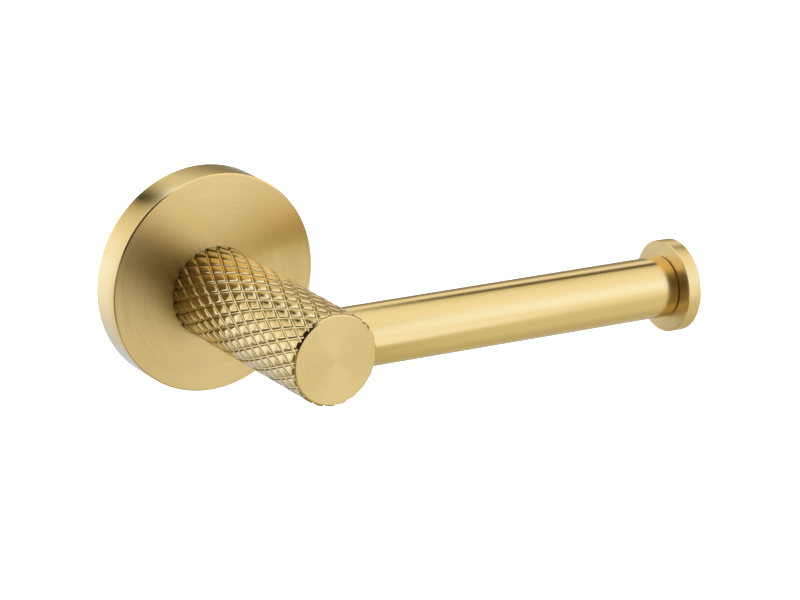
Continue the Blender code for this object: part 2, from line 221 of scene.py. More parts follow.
def knurled_bar(start, end):
    """Closed bar covered by two crossing sets of grooves, with domed lands between them.

    The mesh follows the grooves: u and v count grooves of each hand, so that every groove line,
    edge and crossing lies on mesh edges.
    """
    lines, pitch = groove_fractions()
    per_cell = len(lines)
    around = KNURL_STARTS * per_cell
    axial = 2 * math.pi * POST_RADIUS / KNURL_STARTS / math.tan(KNURL_ANGLE)
    spare = 2 * MM
    first = int(math.floor((start - KNURL_SHIFT - spare) / axial * 2)) * per_cell
    last = int(math.ceil((end - KNURL_SHIFT + spare) / axial * 2)) * per_cell
    rows = last - first + 1
    column = np.arange(around)
    index_u = np.broadcast_to(column, (rows, around))
    index_v = index_u - np.arange(first, last + 1)[:, None]
    u = index_u // per_cell + lines[index_u % per_cell]
    v = index_v // per_cell + lines[index_v % per_cell]
    angle = (u + v) * math.pi / KNURL_STARTS + KNURL_TURN
    height = (u - v) * axial / 2 + KNURL_SHIFT

    def depth(count):
        distance = np.abs(count - np.round(count)) * pitch
        part = (KNURL_WIDTH / 2 - distance) / (KNURL_WIDTH / 2 - KNURL_FLOOR / 2)
        part = np.clip(part, 0, 1)
        return KNURL_DEPTH * part ** 2 * (3 - 2 * part)

    def crown(count):
        return KNURL_CROWN * (1 - 2 * np.abs(count - np.round(count))) ** 2

    radius = POST_RADIUS - np.maximum(depth(u), depth(v)) - crown(u) - crown(v)
    points = np.stack([radius * np.cos(angle), radius * np.sin(angle), height], -1).reshape(-1, 3)

    def vertex(cell_u, row):
        return row * around + cell_u % around

    faces = []
    half = per_cell / 2
    for row in range(1, rows - 1):
        offset = first + row
        for cell_u in range(around):
            cell_v = cell_u - offset
            a = vertex(cell_u, row)
            b = vertex(cell_u + 1, row + 1)
            c = vertex(cell_u + 1, row)
            d = vertex(cell_u, row - 1)
            same_side = (cell_u % per_cell < half) == (cell_v % per_cell < half)
            if same_side:
                faces += [(a, b, c), (a, c, d)]
            else:
                faces += [(a, b, d), (b, c, d)]
    mesh = mesh_from("knurled_bar", points, faces)
    bm = bmesh.new()
    bm.from_mesh(mesh)
    loose = [vert for vert in bm.verts if not vert.link_faces]
    bmesh.ops.delete(bm, geom=loose, context="VERTS")
    for side in (-1, 1):
        rim = [edge for edge in bm.edges if edge.is_boundary
               and (edge.verts[0].co.z - (start + end) / 2) * side > 0]
        hub = bm.verts.new((0, 0, sum(edge.verts[0].co.z for edge in rim) / len(rim)))
        for edge in rim:
            bm.faces.new((edge.verts[0], edge.verts[1], hub))
    bmesh.ops.recalc_face_normals(bm, faces=bm.faces)
    bm.to_mesh(mesh)
    bm.free()
    return new_object("knurled_bar", mesh, OUT_FROM_WALL)


def make_post():
    post = knurled_bar(POST_BACK, POST_REACH)
    over = 1.0 * MM
    envelope = turned("envelope", [(0, POST_BACK), (POST_RADIUS + over, POST_BACK),
                                   (POST_RADIUS + over, POST_REACH - POST_EDGE - over),
                                   (POST_RADIUS - POST_EDGE, POST_REACH), (0, POST_REACH)],
                      OUT_FROM_WALL)
    combine(post, envelope, "INTERSECT")
    at_arm = Matrix.Translation((0, ARM_AXIS_Y, 0)) @ ALONG_ARM
    beyond_end = 0.3 * MM
    seat = cylinder(ARM_RADIUS + SEAT_CLEARANCE, ARM_START - beyond_end, 2 * POST_RADIUS, at_arm)
    combine(post, seat, "DIFFERENCE")
    stud_low, stud_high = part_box("arm_stud")
    stud_hole = cylinder((stud_high.z - stud_low.z) / 2 + THREAD_CLEARANCE, stud_low.x - MM,
                         2 * POST_RADIUS, at_arm, COARSE)
    combine(post, stud_hole, "DIFFERENCE")
    for node in ("post_screw", "post_locating_pin"):
        low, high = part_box(node)
        radius = POST_SCREW_HOLE if node == "post_screw" else (high.x - low.x) / 2 + PIN_CLEARANCE
        hole = cylinder(radius, 0, MM - low.y, axis_place(node, (0, -1, 0)), COARSE)
        combine(post, hole, "DIFFERENCE")
    post.name = "post_with_diamond_knurl"
    return crisp(post, 24)


# ---------------------------------------------------------------- turned pieces
def make_flange():
    inside = FLANGE_RADIUS - FLANGE_WALL
    outline = [(0, CUP_DEPTH), (inside, CUP_DEPTH), (inside, 0), (FLANGE_RADIUS - FLANGE_EDGE, 0),
               (FLANGE_RADIUS, FLANGE_EDGE), (FLANGE_RADIUS, FLANGE_DEPTH - FLANGE_EDGE),
               (FLANGE_RADIUS - FLANGE_EDGE, FLANGE_DEPTH), (0, FLANGE_DEPTH)]
    radii = [0, CUP_CORNER, 0] + [TURNED_EDGE] * 4 + [0]
    at_flange = Matrix.Translation((0, 0, FLANGE_RISE)) @ OUT_FROM_WALL
    flange = turned("flange_cover", rounded(outline, radii), at_flange)
    seat_start = POST_BACK - 0.05 * MM
    for radius, start in ((POST_RADIUS + SEAT_CLEARANCE, seat_start), (FLANGE_SCREW_HOLE, 0)):
        combine(flange, cylinder(radius, start, 2 * FLANGE_DEPTH, OUT_FROM_WALL), "DIFFERENCE")
    down = Matrix.Rotation(math.pi, 4, "X")
    grub_low, grub_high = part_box("grub_screw")
    at_grub = Matrix.Translation((0, (grub_low.y + grub_high.y) / 2, 0)) @ down
    grub_radius = (grub_high.x - grub_low.x) / 2
    grub_hole = cylinder(grub_radius + THREAD_CLEARANCE, FLANGE_RADIUS / 2, 2 * FLANGE_RADIUS, at_grub,
                         COARSE)
    combine(flange, grub_hole, "DIFFERENCE")
    pin_low, pin_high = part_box("post_locating_pin")
    pin_hole = cylinder((pin_high.x - pin_low.x) / 2 + PIN_CLEARANCE, 0, 2 * FLANGE_DEPTH,
                        axis_place("post_locating_pin", (0, -1, 0)), COARSE)
    combine(flange, pin_hole, "DIFFERENCE")
    return crisp(flange)


def make_arm():
    at_arm = Matrix.Translation((0, ARM_AXIS_Y, 0)) @ ALONG_ARM
    bore = ARM_RADIUS - ARM_WALL
    outline = [(bore, ARM_START), (ARM_RADIUS, ARM_START), (ARM_RADIUS, ARM_END), (bore, ARM_END)]
    return turned("smooth_arm", rounded(outline, [0, ARM_EDGE, ARM_EDGE, 0]), at_arm, ring=True)


def make_disc():
    at_arm = Matrix.Translation((0, ARM_AXIS_Y, 0)) @ ALONG_ARM
    hole_end = DISC_INNER + DISC_HOLE_DEPTH
    outline = [(0, hole_end), (DISC_HOLE, hole_end), (DISC_HOLE, DISC_INNER),
               (DISC_RADIUS - DISC_EDGE, DISC_INNER), (DISC_RADIUS, DISC_INNER + DISC_EDGE),
               (DISC_RADIUS, DISC_OUTER - DISC_EDGE), (DISC_RADIUS - DISC_EDGE, DISC_OUTER),
               (0, DISC_OUTER)]
    return turned("end_disc", rounded(outline, [0, 0, 0] + [TURNED_EDGE] * 4 + [0]), at_arm)


# ---------------------------------------------------------------- fixings behind the flange
def axis_place(node, direction):
    """Matrix whose local Z runs along a world direction through the middle of a node's box."""
    low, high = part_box(node)
    turn = Vector((0, 0, 1)).rotation_difference(Vector(direction)).to_matrix().to_4x4()
    centre = (low + high) / 2
    along = Vector(direction)
    return Matrix.Translation(centre - along * centre.dot(along)) @ turn


def extent(node, direction):
    """How far a node reaches along a world direction, as (start, end)."""
    low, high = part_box(node)
    ends = sorted((low.dot(Vector(direction)), high.dot(Vector(direction))))
    return ends[0], ends[1]


def threaded(name, place, start, end, crest, depth, pitch, limit, steps=8, segments=72):
    """Solid rod with a helical thread. The mesh rows follow the helix. limit(height) caps the radius."""
    rows = int((end - start) / pitch * steps) + 2 * steps + 2
    row = np.arange(rows)[:, None]
    turn = np.arange(segments)[None, :] / segments
    height = np.clip(start + pitch * (row / steps + turn - 1), start, end)
    phase = (height / pitch - turn) % 1
    ridge = np.clip(np.abs(2 * phase - 1) * 1.4 - 0.2, 0, 1)
    radius = np.minimum(crest - depth * ridge, limit(height))
    angle = 2 * np.pi * turn
    points = np.stack([radius * np.cos(angle), radius * np.sin(angle), height], -1).reshape(-1, 3)
    faces = []
    for line in range(rows - 1):
        for step in range(segments - 1):
            a = line * segments + step
            faces.append((a, a + 1, a + 1 + segments, a + segments))
        last = line * segments + segments - 1
        ahead = min(line + steps, rows - 1) * segments
        after = min(line + 1 + steps, rows - 1) * segments
        faces.append((last, ahead, after, last + segments))
    return closed(name, points, faces, place)


def closed(name, points, faces, place):
    """Object from points and faces, with doubled points merged and its two open ends capped."""
    mesh = bpy.data.meshes.new(name)
    mesh.from_pydata([tuple(point) for point in points], [], faces)
    bm = bmesh.new()
    bm.from_mesh(mesh)
    bmesh.ops.remove_doubles(bm, verts=bm.verts, dist=1e-7)
    middle = sum(vert.co.z for vert in bm.verts) / len(bm.verts)
    for side in (-1, 1):
        rim = [edge for edge in bm.edges if edge.is_boundary and (edge.verts[0].co.z - middle) * side > 0]
        if rim:
            bmesh.ops.contextual_create(bm, geom=rim)
    bmesh.ops.triangulate(bm, faces=[face for face in bm.faces if len(face.verts) > 4])
    bmesh.ops.recalc_face_normals(bm, faces=bm.faces)
    bm.to_mesh(mesh)
    bm.free()
    return crisp(new_object(name, mesh, place))


def socket(obj, place, half_flats, start, end):
    """Cut a hexagon socket."""
    corner = half_flats / math.cos(math.radians(30))
    return combine(obj, cylinder(corner, start, end, place, 6), "DIFFERENCE")


def chamfered(start, end, radius, edge):
    """Radius limit of a rod with chamfered ends."""
    return lambda height: radius - edge + np.minimum(height - start, end - height)


def make_wall_screw(label):
    """Pan-head wood screw with a cross recess."""
    node = f"wall_screw_{label}"
    place = axis_place(node, (0, -1, 0))
    start, end = extent(node, (0, -1, 0))
    low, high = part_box(node)
    head = (high.x - low.x) / 2
    shank = 1.75 * MM
    head_height = 2.6 * MM
    thread_depth = 0.5 * MM
    pitch = 1.6 * MM
    point = 4.0 * MM
    overlap = 0.3 * MM
    seat = end - head_height

    def limit(at):
        return np.clip((at - start) / point, 0.02, 1) * shank

    screw = threaded(node + "_threaded", place, start, seat + overlap, shank, thread_depth, pitch, limit)
    outline = [(0, seat), (head, seat), (head, end - 1.5 * MM), (0.94 * head, end - 0.7 * MM),
               (0.72 * head, end - 0.16 * MM), (0.45 * head, end), (0, end)]
    radii = [0, 0.1 * MM, 0.4 * MM, 0.5 * MM, 0.8 * MM, 0.5 * MM, 0]
    combine(screw, turned("head", rounded(outline, radii), place, COARSE), "UNION")
    reach = 1.8 * MM
    half_width = 0.42 * MM
    recess_depth = 1.5 * MM

    def wing(at, length, width):
        return [(x * length, y * width, at) for x, y in ((-1, -1), (1, -1), (1, 1), (-1, 1))]

    for turn in (0, math.pi / 2):
        cutter = prism("wing", wing(end - recess_depth, 0.55 * reach, 0.8 * half_width),
                       wing(end + MM / 2, reach, half_width), place @ Matrix.Rotation(turn, 4, "Z"))
        combine(screw, cutter, "DIFFERENCE")
    return crisp(screw)


def make_wall_plug(label):
    """Nylon sleeve: smooth collar, then barbed rings, slit lengthwise."""
    node = f"wall_plug_{label}"
    place = axis_place(node, (0, 1, 0))
    start, end = extent(node, (0, 1, 0))
    low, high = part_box(node)
    outer = (high.x - low.x) / 2
    bore = 2.05 * MM
    outline = [(bore, start), (outer, start), (outer, start + 3.5 * MM)]
    barb = 2.4 * MM
    barb_depth = 0.45 * MM
    nose = 2 * MM
    at = start + 4.0 * MM
    while at + barb < end - nose:
        outline += [(outer - barb_depth, at), (outer, at + barb - 0.5 * MM),
                    (outer, at + barb - 0.2 * MM)]
        at += barb
    outline += [(outer - 0.5 * MM, at), (outer - 0.5 * MM, end - 1.2 * MM), (outer - 0.9 * MM, end),
                (bore, end)]
    plug = turned(node + "_barbed", outline, place, 128, ring=True)
    half_slit = 0.35 * MM
    collar = 6 * MM

    def strip(at):
        return [(x * half_slit, y * 2 * outer, at) for x, y in ((-1, -1), (1, -1), (1, 1), (-1, 1))]

    combine(plug, prism("slit", strip(start + collar), strip(end + MM), place), "DIFFERENCE")
    return crisp(plug)


def make_wall_plate():
    """Pressed dish with a stiffening bead, a centre dimple and two slots."""
    low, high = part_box("wall_plate")
    place = Matrix.Translation((0, 0, (low.z + high.z) / 2)) @ OUT_FROM_WALL
    outer = (high.z - low.z) / 2
    rim = -low.y
    sheet = 1.4 * MM
    bead = 0.5 * MM
    outline = [(0, bead), (2.2 * MM, bead), (2.9 * MM, 0), (20.5 * MM, 0), (21.3 * MM, bead),
               (23.3 * MM, bead), (24.1 * MM, 0), (outer, 0), (outer, rim), (outer - sheet, rim),
               (outer - sheet, sheet), (24.1 * MM, sheet), (23.3 * MM, sheet + bead),
               (21.3 * MM, sheet + bead), (20.5 * MM, sheet), (2.9 * MM, sheet), (2.2 * MM, sheet + bead),
               (0, sheet + bead)]
    soft = 0.25 * MM
    radii = [0] + [soft] * 6 + [1.6 * MM] + [soft] * 9 + [0]
    plate = turned("pressed_wall_plate", rounded(outline, radii), place, 256)
    screws = [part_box(f"wall_screw_{label}") for label in ("upper", "lower")]
    half_width = 3.0 * MM
    half_length = 4.5 * MM
    steps = 24
    for screw_low, screw_high in screws:
        height = (screw_low.z + screw_high.z) / 2
        outline = []
        for end_of_slot in (1, -1):
            for step in range(steps + 1):
                angle = math.pi * (step / steps - 0.5) + (0 if end_of_slot == 1 else math.pi)
                outline.append((end_of_slot * (half_length - half_width) + half_width * math.cos(angle),
                                half_width * math.sin(angle)))
        through = 5 * MM
        base, top = ([(x, y, z) for x, y in outline] for z in (-through, through))
        at_slot = Matrix.Translation((0, 0, height)) @ OUT_FROM_WALL
        combine(plate, prism("slot", base, top, at_slot), "DIFFERENCE")
    return crisp(plate)


def make_grub_screw():
    place = axis_place("grub_screw", (0, 0, -1))
    start, end = extent("grub_screw", (0, 0, -1))
    low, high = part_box("grub_screw")
    radius = (high.x - low.x) / 2
    screw = threaded("grub_screw_threaded", place, start, end, radius, 0.4 * MM, 0.7 * MM,
                     chamfered(start, end, radius, 0.45 * MM))
    socket(screw, place, 1.0 * MM, end - 1.8 * MM, end + MM)
    return crisp(screw)


def make_post_screw():
    place = axis_place("post_screw", (0, -1, 0))
    start, end = extent("post_screw", (0, -1, 0))
    low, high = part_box("post_screw")
    head = (high.x - low.x) / 2
    height = 3.2 * MM
    radius = 3.0 * MM
    screw = threaded("post_screw_threaded", place, start + height - 0.3 * MM, end, radius, 0.6 * MM,
                     1.0 * MM, chamfered(start - height, end, radius, 0.8 * MM))
    outline = [(0, start), (0.5 * head, start), (0.8 * head, start + 0.25 * height),
               (0.96 * head, start + 0.62 * height), (head, start + height - 0.15 * MM),
               (head - 0.1 * MM, start + height), (0, start + height)]
    radii = [0, MM, 2 * MM, 0.8 * MM, 0.1 * MM, 0.05 * MM, 0]
    combine(screw, turned("head", rounded(outline, radii), place, 128), "UNION")
    socket(screw, place, 2.0 * MM, start - MM, start + 2.0 * MM)
    return crisp(screw)


def make_spring_washer():
    place = axis_place("post_spring_washer", (0, -1, 0))
    start, end = extent("post_spring_washer", (0, -1, 0))
    low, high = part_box("post_spring_washer")
    outer = (high.z - low.z) / 2
    bore = 3.3 * MM
    soft = 0.12 * MM
    outline = [(bore, start), (outer, start), (outer, end), (bore, end)]
    washer = turned("spring_washer_split", rounded(outline, [soft] * 4), place, 192, ring=True)
    gap = 0.4 * MM
    lean = 0.5 * MM

    def strip(at, shift):
        return [(x * 2 * outer, shift + y * gap, at) for x, y in ((0, -1), (1, -1), (1, 1), (0, 1))]

    combine(washer, prism("split", strip(start - MM, -lean), strip(end + MM, lean), place), "DIFFERENCE")
    return crisp(washer)


def make_pin():
    place = axis_place("post_locating_pin", (0, -1, 0))
    start, end = extent("post_locating_pin", (0, -1, 0))
    low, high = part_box("post_locating_pin")
    radius = (high.x - low.x) / 2
    dome = 0.25 * MM
    outline = [(0, start), (radius - dome, start), (radius, start + 2 * dome), (radius, end - 2 * dome),
               (radius - dome, end), (0, end)]
    return turned("locating_pin", rounded(outline, [0, dome, dome, dome, dome, 0]), place, COARSE)


def make_stud(node, radius, pitch, half_flats, socket_at_end):
    place = axis_place(node, (1, 0, 0))
    start, end = extent(node, (1, 0, 0))
    stud = threaded(node + "_threaded", place, start, end, radius, 0.6 * pitch, pitch,
                    chamfered(start, end, radius, 0.7 * MM))
    deep = 3 * MM
    if socket_at_end:
        socket(stud, place, half_flats, end - deep, end + MM)
    else:
        socket(stud, place, half_flats, start - MM, start + deep)
    return crisp(stud)


def make_insert(node, bore):
    """Brass insert whose outside carries a fine straight knurl between two plain bands."""
    place = axis_place(node, (1, 0, 0))
    start, end = extent(node, (1, 0, 0))
    low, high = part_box(node)
    radius = (high.z - low.z) / 2
    teeth = 48
    segments = teeth * 6
    bevel = 0.4 * MM
    plain = 2.0 * MM
    knurled = plain + 0.3 * MM
    tooth = 0.22 * MM
    heights = [(start, bevel, 0), (start + bevel, 0, 0), (start + plain, 0, 0), (start + knurled, 0, 1),
               (end - knurled, 0, 1), (end - plain, 0, 0), (end - bevel, 0, 0), (end, bevel, 0)]
    points = []
    for height, inset, cut in heights:
        for step in range(segments):
            angle = 2 * math.pi * step / segments
            groove = tooth * cut * (0.5 - 0.5 * math.cos(teeth * angle))
            at = radius - inset - groove
            points.append((at * math.cos(angle), at * math.sin(angle), height))
    faces = []
    for line in range(len(heights) - 1):
        for step in range(segments):
            after = (step + 1) % segments
            faces.append((line * segments + step, line * segments + after,
                          (line + 1) * segments + after, (line + 1) * segments + step))
    insert = closed(node + "_knurled", points, faces, place)
    combine(insert, cylinder(bore, start - MM, end + MM, place, COARSE), "DIFFERENCE")
    return crisp(insert, 30)


# ---------------------------------------------------------------- materials
GOLD = (0.93, 0.695, 0.315)
STEEL = (0.56, 0.55, 0.53)
ZINC = (0.64, 0.67, 0.70)
ZINC_YELLOW = (0.72, 0.67, 0.52)
BRASS = (0.80, 0.60, 0.28)
TARNISH = (0.52, 0.36, 0.15)
NYLON = (0.30, 0.31, 0.32)
NYLON_WORN = (0.42, 0.42, 0.41)


class Nodes:
    """Short way to add nodes to a material or a world."""

    def __init__(self, tree):
        self.tree = tree

    def add(self, kind, **settings):
        node = self.tree.nodes.new(kind)
        for name, value in settings.items():
            setattr(node, name, value)
        return node

    def link(self, source, target):
        self.tree.links.new(source, target)

    def feed(self, socket, value):
        if isinstance(value, bpy.types.NodeSocket):
            self.link(value, socket)
        else:
            socket.default_value = value

    def math(self, operation, first, second=0.0, clamp=False):
        node = self.add("ShaderNodeMath", operation=operation, use_clamp=clamp)
        self.feed(node.inputs[0], first)
        self.feed(node.inputs[1], second)
        return node.outputs[0]

    def vector(self, operation, first, second=(0.0, 0.0, 0.0)):
        node = self.add("ShaderNodeVectorMath", operation=operation)
        self.feed(node.inputs[0], first)
        self.feed(node.inputs[1], second)
        return node.outputs["Value" if operation in ("LENGTH", "DOT_PRODUCT") else "Vector"]

    def join(self, x, y, z):
        node = self.add("ShaderNodeCombineXYZ")
        for socket, value in zip(node.inputs, (x, y, z)):
            self.feed(socket, value)
        return node.outputs[0]

    def split(self, vector):
        node = self.add("ShaderNodeSeparateXYZ")
        self.link(vector, node.inputs[0])
        return node.outputs

    def fade(self, value, low, high, start=0.0, end=1.0):
        """Smooth step: start below low, end above high."""
        node = self.add("ShaderNodeMapRange", interpolation_type="SMOOTHSTEP")
        for socket, part in zip(node.inputs, (value, low, high, start, end)):
            self.feed(socket, part)
        return node.outputs[0]

    def noise(self, vector, scale, detail=3.0, roughness=0.55):
        node = self.add("ShaderNodeTexNoise")
        for name, value in (("Vector", vector), ("Scale", scale), ("Detail", detail),
                            ("Roughness", roughness)):
            self.feed(node.inputs[name], value)
        return node.outputs["Fac"]

    def blend(self, factor, first, second):
        node = self.add("ShaderNodeMix", data_type="RGBA")
        self.feed(node.inputs[0], factor)
        self.feed(node.inputs[6], first)
        self.feed(node.inputs[7], second)
        return node.outputs[2]


class Finish:
    """A material under construction: colour, roughness and height built up from object coordinates."""

    def __init__(self, name, colour, roughness, metallic=1.0):
        self.material = bpy.data.materials.new(name)
        self.material.use_nodes = True
        self.shader = self.material.node_tree.nodes["Principled BSDF"]
        self.shader.inputs["Metallic"].default_value = metallic
        self.nodes = Nodes(self.material.node_tree)
        place = self.nodes.add("ShaderNodeTexCoord").outputs["Object"]
        self.place = self.nodes.vector("MULTIPLY", place, (1000.0, 1000.0, 1000.0))   # millimetres
        self.x, self.y, self.z = self.nodes.split(self.place)
        flat = self.nodes.join(self.x, self.y, 0.0)
        self.radius = self.nodes.vector("LENGTH", flat)
        self.around = self.nodes.split(self.nodes.vector("NORMALIZE", flat))
        self.colour = (*colour, 1.0)
        self.roughness = roughness
        self.height = None

    def marks(self, kind, fine, slow):
        """Noise drawn out into tool marks: fine per mm across them, slow along them."""
        nodes = self.nodes
        cosine, sine = self.around[0], self.around[1]
        if kind == "spun":                       # circles on a face square to local Z
            parts = (nodes.math("MULTIPLY", self.radius, fine), nodes.math("MULTIPLY", cosine, slow),
                     nodes.math("MULTIPLY", sine, slow))
        elif kind == "turned":                   # circles on a side about local Z
            parts = (nodes.math("MULTIPLY", self.z, fine), nodes.math("MULTIPLY", cosine, slow),
                     nodes.math("MULTIPLY", sine, slow))
        elif kind == "rolled":                   # straight, along local X
            parts = (nodes.math("MULTIPLY", self.x, slow), nodes.math("MULTIPLY", self.y, fine),
                     nodes.math("MULTIPLY", self.z, fine))
        else:                                    # grain without a direction
            parts = (nodes.math("MULTIPLY", self.x, fine), nodes.math("MULTIPLY", self.y, fine),
                     nodes.math("MULTIPLY", self.z, fine))
        return nodes.noise(nodes.join(*parts), 1.0)

    def tint(self, mask, colour, amount=1.0):
        """Move the colour towards another one where the mask is 1."""
        factor = self.nodes.math("MULTIPLY", mask, amount)
        self.colour = self.nodes.blend(factor, self.colour, (*colour, 1.0))

    def rough(self, mask, amount):
        """Add the amount to the roughness where the mask is 1."""
        self.roughness = self.nodes.math("ADD", self.roughness, self.nodes.math("MULTIPLY", mask, amount))

    def raise_by(self, mask, depth):
        """Add to the height, in mm."""
        layer = self.nodes.math("MULTIPLY", mask, depth)
        self.height = layer if self.height is None else self.nodes.math("ADD", self.height, layer)

    def lay(self, anisotropy):
        """Reflections spread across circular tool marks about local Z."""
        tangent = self.nodes.add("ShaderNodeTangent", direction_type="RADIAL", axis="Z")
        self.nodes.link(tangent.outputs[0], self.shader.inputs["Tangent"])
        self.shader.inputs["Anisotropic"].default_value = anisotropy
        self.shader.inputs["Anisotropic Rotation"].default_value = 0.25

    def done(self):
        self.nodes.feed(self.shader.inputs["Base Color"], self.colour)
        self.nodes.feed(self.shader.inputs["Roughness"], self.roughness)
        if self.height is not None:
            bump = self.nodes.add("ShaderNodeBump")
            bump.inputs["Strength"].default_value = 1.0
            bump.inputs["Distance"].default_value = MM
            self.nodes.link(self.height, bump.inputs["Height"])
            self.nodes.link(bump.outputs[0], self.shader.inputs["Normal"])
        return self.material


def shade(colour, factor):
    return tuple(part * factor for part in colour)


def brushed_face(name, radius, roughness, anisotropy, strength):
    """Face brushed in circles: fine marks, a few deeper ones, edge slightly polished by wiping."""
    finish = Finish(name, shade(GOLD, 1 + 0.06 * strength), roughness)
    fine = finish.marks("spun", 3.2, 2.4)
    broad = finish.marks("spun", 0.9, 1.2)
    patch = finish.marks("grain", 0.07, 0.07)
    finish.tint(fine, shade(GOLD, 0.74), 0.5 * strength)
    finish.tint(broad, shade(GOLD, 0.80), 0.5 * strength)
    finish.rough(fine, 0.06)
    finish.rough(finish.nodes.math("SUBTRACT", broad, 0.5), 0.10)
    finish.rough(finish.nodes.math("SUBTRACT", patch, 0.5), 0.06)
    finish.rough(finish.nodes.fade(finish.radius, radius - 1.2, radius), -0.06)
    finish.raise_by(fine, 0.008 * strength)
    finish.raise_by(broad, 0.008 * strength)
    finish.lay(anisotropy)
    return finish.done()


def turned_side(name, low, high, roughness, anisotropy, fine_depth):
    """Side turned on a lathe and lacquered: fine circles, both edges slightly polished."""
    finish = Finish(name, GOLD, roughness)
    fine = finish.marks("turned", 7.0, 1.5)
    broad = finish.marks("turned", 1.6, 0.8)
    patch = finish.marks("grain", 0.10, 0.10)
    finish.tint(fine, shade(GOLD, 0.88), 0.25)
    finish.rough(finish.nodes.math("SUBTRACT", broad, 0.5), 0.06)
    finish.rough(finish.nodes.math("SUBTRACT", patch, 0.5), 0.05)
    worn = finish.nodes.math("ADD", finish.nodes.fade(finish.z, low, low + 0.6, 1.0, 0.0),
                             finish.nodes.fade(finish.z, high - 0.6, high))
    finish.rough(worn, -0.04)
    finish.raise_by(fine, fine_depth)
    finish.lay(anisotropy)
    return finish.done()


def knurled_side(name):
    """Rolled knurl: bright lands, groove walls darker and duller towards the bottom; the darkening of the
    walls and of the post next to the flange is painted shade.
    """
    finish = Finish(name, GOLD, 0.09)
    crest = POST_RADIUS / MM
    floor = crest - (KNURL_DEPTH + KNURL_CROWN) / MM
    wall = finish.nodes.math("MULTIPLY", finish.nodes.fade(finish.radius, floor + 0.01, floor + 0.12),
                             finish.nodes.fade(finish.radius, crest - 0.30, crest - 0.16, 1.0, 0.0))
    lip = finish.nodes.math("MULTIPLY", finish.nodes.fade(finish.radius, crest - 0.20, crest - 0.12),
                            finish.nodes.fade(finish.radius, crest - 0.08, crest - 0.03, 1.0, 0.0))
    grain = finish.marks("grain", 2.6, 2.6)
    fine = finish.marks("turned", 6.0, 2.0)
    # painted shade: the groove walls are darkened to stand in for the shade inside the grooves
    finish.tint(wall, shade(GOLD, 0.16), 0.92)
    finish.tint(grain, shade(GOLD, 0.85), 0.30)
    # painted shade: the post is darkened where it meets the flange, standing in for the shade there
    painted_shade_near_flange = finish.nodes.fade(finish.z, FLANGE_DEPTH / MM, FLANGE_DEPTH / MM + 14, 1.0, 0.0)
    finish.tint(painted_shade_near_flange, shade(GOLD, 0.30), 0.75)
    finish.rough(wall, 0.14)
    finish.rough(lip, -0.05)
    finish.rough(finish.nodes.math("SUBTRACT", grain, 0.5), 0.10)
    finish.raise_by(grain, 0.006)
    finish.raise_by(fine, 0.0008)
    finish.lay(0.3)
    return finish.done()


def pressed_steel(name):
    """Cold rolled sheet: straight rolling marks, faint patches from the press."""
    finish = Finish(name, STEEL, 0.20)
    lines = finish.marks("rolled", 3.5, 0.12)
    patch = finish.marks("grain", 0.12, 0.12)
    finish.tint(lines, shade(STEEL, 0.55), 0.6)
    finish.tint(patch, shade(STEEL, 0.75), 0.5)
    finish.rough(lines, 0.16)
    finish.rough(finish.nodes.math("SUBTRACT", patch, 0.5), 0.12)
    finish.raise_by(lines, 0.006)
    return finish.done()


def turned_steel(name):
    finish = Finish(name, STEEL, 0.24)
    fine = finish.marks("turned", 5.0, 1.2)
    grain = finish.marks("grain", 1.5, 1.5)
    finish.tint(fine, shade(STEEL, 0.75), 0.4)
    finish.rough(grain, 0.12)
    finish.raise_by(fine, 0.002)
    finish.lay(0.4)
    return finish.done()


def zinc_plating(name):
    """Electroplated zinc: cloudy, slightly blue and yellow, with a fine crystalline grain."""
    finish = Finish(name, ZINC, 0.30)
    cloud = finish.marks("grain", 0.5, 0.5)
    grain = finish.marks("grain", 4.0, 4.0)
    finish.tint(finish.nodes.fade(cloud, 0.42, 0.68), ZINC_YELLOW, 0.45)
    finish.tint(grain, shade(ZINC, 0.7), 0.35)
    finish.rough(finish.nodes.math("SUBTRACT", cloud, 0.5), 0.16)
    finish.rough(grain, 0.10)
    finish.raise_by(grain, 0.006)
    return finish.done()


def moulded_nylon(name):
    """Matt moulding with a fine spark texture, scuffed a little paler on its high spots."""
    finish = Finish(name, NYLON, 0.52, metallic=0.0)
    cloud = finish.marks("grain", 0.35, 0.35)
    grain = finish.marks("grain", 5.0, 5.0)
    finish.tint(finish.nodes.fade(cloud, 0.4, 0.7), NYLON_WORN, 0.35)
    finish.tint(grain, shade(NYLON, 0.8), 0.5)
    finish.rough(grain, 0.14)
    finish.raise_by(grain, 0.012)
    finish.shader.inputs["Specular IOR Level"].default_value = 0.4
    return finish.done()


def machined_brass(name):
    finish = Finish(name, BRASS, 0.22)
    fine = finish.marks("turned", 4.0, 1.0)
    cloud = finish.marks("grain", 0.4, 0.4)
    finish.tint(finish.nodes.fade(cloud, 0.45, 0.75), TARNISH, 0.5)
    finish.tint(fine, shade(BRASS, 0.8), 0.4)
    finish.rough(cloud, 0.16)
    finish.raise_by(fine, 0.003)
    finish.lay(0.5)
    return finish.done()


# ---------------------------------------------------------------- light
def direction_to(azimuth, elevation):
    """Unit vector: azimuth from straight in front of the wall (-Y) towards +X, in degrees."""
    a = math.radians(azimuth)
    e = math.radians(elevation)
    return math.cos(e) * math.sin(a), -math.cos(e) * math.cos(a), math.sin(e)


def tone(value, cool=0.0):
    """Colour of the surroundings at a brightness: golden when dim, white when bright, or cool."""
    if value < 1:
        warm = (value, value * (0.84 + 0.16 * min(1.0, value / 0.7)),
                value * (0.5 + 0.5 * min(1.0, value / 0.93) ** 1.5))
    else:
        over = value - 1
        warm = (1 + 0.1 * over, 1.02 + 0.45 * over, 1.05 + 1.2 * over)
    grey = (warm[0], warm[0] * 1.15, warm[0] * 1.6)
    return tuple(w + (g - w) * cool for w, g in zip(warm, grey)) + (1.0,)
